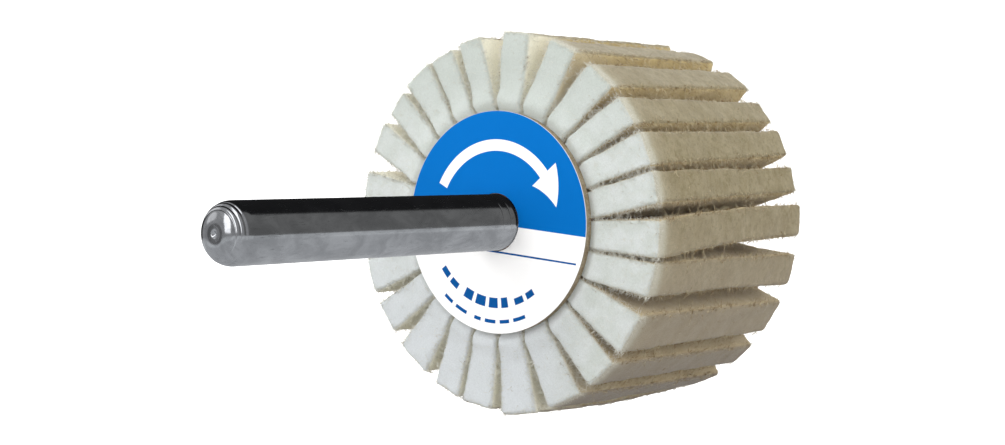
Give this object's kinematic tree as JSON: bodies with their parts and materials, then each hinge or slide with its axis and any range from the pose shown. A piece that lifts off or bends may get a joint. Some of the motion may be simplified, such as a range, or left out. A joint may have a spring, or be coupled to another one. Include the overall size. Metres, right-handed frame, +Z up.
{
  "type": "felt flap polishing wheel",
  "caption": "Round polishing wheel of radial felt flaps set in a resin hub, with a round label on the front and a plain steel shank for a drill or straight grinder.",
  "frame": {"origin": "on the wheel's axis at the outer face of the front label, where the shank leaves the wheel", "axes": "Y along the axis, the shank towards -Y and the felt towards +Y; +Z up and +X to the right seen from the shank"},
  "size_m": [0.0403, 0.0705, 0.0411],
  "materials": {
    "steel": "turned",
    "resin": "cast",
    "fibre_board": "matt",
    "label_paper": "satin",
    "felt": "pressed wool felt"
  },
  "bodies": {
    "hub": {"shank": "steel", "resin_core": "resin", "front_disc": "fibre_board", "rear_disc": "fibre_board", "front_label": "label_paper"},
    "body_flap_01": {"flap_01": "felt"},
    "body_flap_02": {"flap_02": "felt"},
    "body_flap_03": {"flap_03": "felt"},
    "body_flap_04": {"flap_04": "felt"},
    "body_flap_05": {"flap_05": "felt"},
    "body_flap_06": {"flap_06": "felt"},
    "body_flap_07": {"flap_07": "felt"},
    "body_flap_08": {"flap_08": "felt"},
    "body_flap_09": {"flap_09": "felt"},
    "body_flap_10": {"flap_10": "felt"},
    "body_flap_11": {"flap_11": "felt"},
    "body_flap_12": {"flap_12": "felt"},
    "body_flap_13": {"flap_13": "felt"},
    "body_flap_14": {"flap_14": "felt"},
    "body_flap_15": {"flap_15": "felt"},
    "body_flap_16": {"flap_16": "felt"},
    "body_flap_17": {"flap_17": "felt"},
    "body_flap_18": {"flap_18": "felt"},
    "body_flap_19": {"flap_19": "felt"},
    "body_flap_20": {"flap_20": "felt"},
    "body_flap_21": {"flap_21": "felt"},
    "body_flap_22": {"flap_22": "felt"},
    "body_flap_23": {"flap_23": "felt"},
    "body_flap_24": {"flap_24": "felt"}
  },
  "joints": [
    {"name": "flap_01_bend", "type": "hinge", "parent": "hub", "child": "body_flap_01", "pos_m": [0.00099, 0.01525, 0.00754], "axis": [0, -1, 0], "range_deg": [-3.5, 3.5], "stiffness_Nm_per_rad": 0.02},
    {"name": "flap_02_bend", "type": "hinge", "parent": "hub", "child": "body_flap_02", "pos_m": [0.00291, 0.01525, 0.00702], "axis": [0, -1, 0], "range_deg": [-3.5, 3.5], "stiffness_Nm_per_rad": 0.02},
    {"name": "flap_03_bend", "type": "hinge", "parent": "hub", "child": "body_flap_03", "pos_m": [0.00463, 0.01525, 0.00603], "axis": [0, -1, 0], "range_deg": [-3.5, 3.5], "stiffness_Nm_per_rad": 0.02},
    {"name": "flap_04_bend", "type": "hinge", "parent": "hub", "child": "body_flap_04", "pos_m": [0.00603, 0.01525, 0.00463], "axis": [0, -1, 0], "range_deg": [-3.5, 3.5], "stiffness_Nm_per_rad": 0.02},
    {"name": "flap_05_bend", "type": "hinge", "parent": "hub", "child": "body_flap_05", "pos_m": [0.00702, 0.01525, 0.00291], "axis": [0, -1, 0], "range_deg": [-1.6, 3.5], "stiffness_Nm_per_rad": 0.02},
    {"name": "flap_06_bend", "type": "hinge", "parent": "hub", "child": "body_flap_06", "pos_m": [0.00754, 0.01525, 0.00099], "axis": [0, -1, 0], "range_deg": [-3.5, 1.6], "stiffness_Nm_per_rad": 0.02},
    {"name": "flap_07_bend", "type": "hinge", "parent": "hub", "child": "body_flap_07", "pos_m": [0.00754, 0.01525, -0.00099], "axis": [0, -1, 0], "range_deg": [-1.4, 3.5], "stiffness_Nm_per_rad": 0.02},
    {"name": "flap_08_bend", "type": "hinge", "parent": "hub", "child": "body_flap_08", "pos_m": [0.00702, 0.01525, -0.00291], "axis": [0, -1, 0], "range_deg": [-3.5, 1.3], "stiffness_Nm_per_rad": 0.02},
    {"name": "flap_09_bend", "type": "hinge", "parent": "hub", "child": "body_flap_09", "pos_m": [0.00603, 0.01525, -0.00463], "axis": [0, -1, 0], "range_deg": [-3.5, 3.5], "stiffness_Nm_per_rad": 0.02},
    {"name": "flap_10_bend", "type": "hinge", "parent": "hub", "child": "body_flap_10", "pos_m": [0.00463, 0.01525, -0.00603], "axis": [0, -1, 0], "range_deg": [-3.5, 3.5], "stiffness_Nm_per_rad": 0.02},
    {"name": "flap_11_bend", "type": "hinge", "parent": "hub", "child": "body_flap_11", "pos_m": [0.00291, 0.01525, -0.00702], "axis": [0, -1, 0], "range_deg": [-3.5, 3.5], "stiffness_Nm_per_rad": 0.02},
    {"name": "flap_12_bend", "type": "hinge", "parent": "hub", "child": "body_flap_12", "pos_m": [0.00099, 0.01525, -0.00754], "axis": [0, -1, 0], "range_deg": [-3.5, 3.5], "stiffness_Nm_per_rad": 0.02},
    {"name": "flap_13_bend", "type": "hinge", "parent": "hub", "child": "body_flap_13", "pos_m": [-0.00099, 0.01525, -0.00754], "axis": [0, -1, 0], "range_deg": [-1.4, 3.5], "stiffness_Nm_per_rad": 0.02},
    {"name": "flap_14_bend", "type": "hinge", "parent": "hub", "child": "body_flap_14", "pos_m": [-0.00291, 0.01525, -0.00702], "axis": [0, -1, 0], "range_deg": [-3.5, 1.4], "stiffness_Nm_per_rad": 0.02},
    {"name": "flap_15_bend", "type": "hinge", "parent": "hub", "child": "body_flap_15", "pos_m": [-0.00463, 0.01525, -0.00603], "axis": [0, -1, 0], "range_deg": [-3.5, 3.5], "stiffness_Nm_per_rad": 0.02},
    {"name": "flap_16_bend", "type": "hinge", "parent": "hub", "child": "body_flap_16", "pos_m": [-0.00603, 0.01525, -0.00463], "axis": [0, -1, 0], "range_deg": [-3.5, 3.5], "stiffness_Nm_per_rad": 0.02},
    {"name": "flap_17_bend", "type": "hinge", "parent": "hub", "child": "body_flap_17", "pos_m": [-0.00702, 0.01525, -0.00291], "axis": [0, -1, 0], "range_deg": [-3.5, 3.5], "stiffness_Nm_per_rad": 0.02},
    {"name": "flap_18_bend", "type": "hinge", "parent": "hub", "child": "body_flap_18", "pos_m": [-0.00754, 0.01525, -0.00099], "axis": [0, -1, 0], "range_deg": [-3.5, 3.5], "stiffness_Nm_per_rad": 0.02},
    {"name": "flap_19_bend", "type": "hinge", "parent": "hub", "child": "body_flap_19", "pos_m": [-0.00754, 0.01525, 0.00099], "axis": [0, -1, 0], "range_deg": [-3.5, 3.5], "stiffness_Nm_per_rad": 0.02},
    {"name": "flap_20_bend", "type": "hinge", "parent": "hub", "child": "body_flap_20", "pos_m": [-0.00702, 0.01525, 0.00291], "axis": [0, -1, 0], "range_deg": [-3.5, 3.5], "stiffness_Nm_per_rad": 0.02},
    {"name": "flap_21_bend", "type": "hinge", "parent": "hub", "child": "body_flap_21", "pos_m": [-0.00603, 0.01525, 0.00463], "axis": [0, -1, 0], "range_deg": [-2.7, 3.5], "stiffness_Nm_per_rad": 0.02},
    {"name": "flap_22_bend", "type": "hinge", "parent": "hub", "child": "body_flap_22", "pos_m": [-0.00463, 0.01525, 0.00603], "axis": [0, -1, 0], "range_deg": [-1, 2.7], "stiffness_Nm_per_rad": 0.02},
    {"name": "flap_23_bend", "type": "hinge", "parent": "hub", "child": "body_flap_23", "pos_m": [-0.00291, 0.01525, 0.00702], "axis": [0, -1, 0], "range_deg": [-3.5, 1], "stiffness_Nm_per_rad": 0.02},
    {"name": "flap_24_bend", "type": "hinge", "parent": "hub", "child": "body_flap_24", "pos_m": [-0.00099, 0.01525, 0.00754], "axis": [0, -1, 0], "range_deg": [-3.5, 3.5], "stiffness_Nm_per_rad": 0.02}
  ]
}
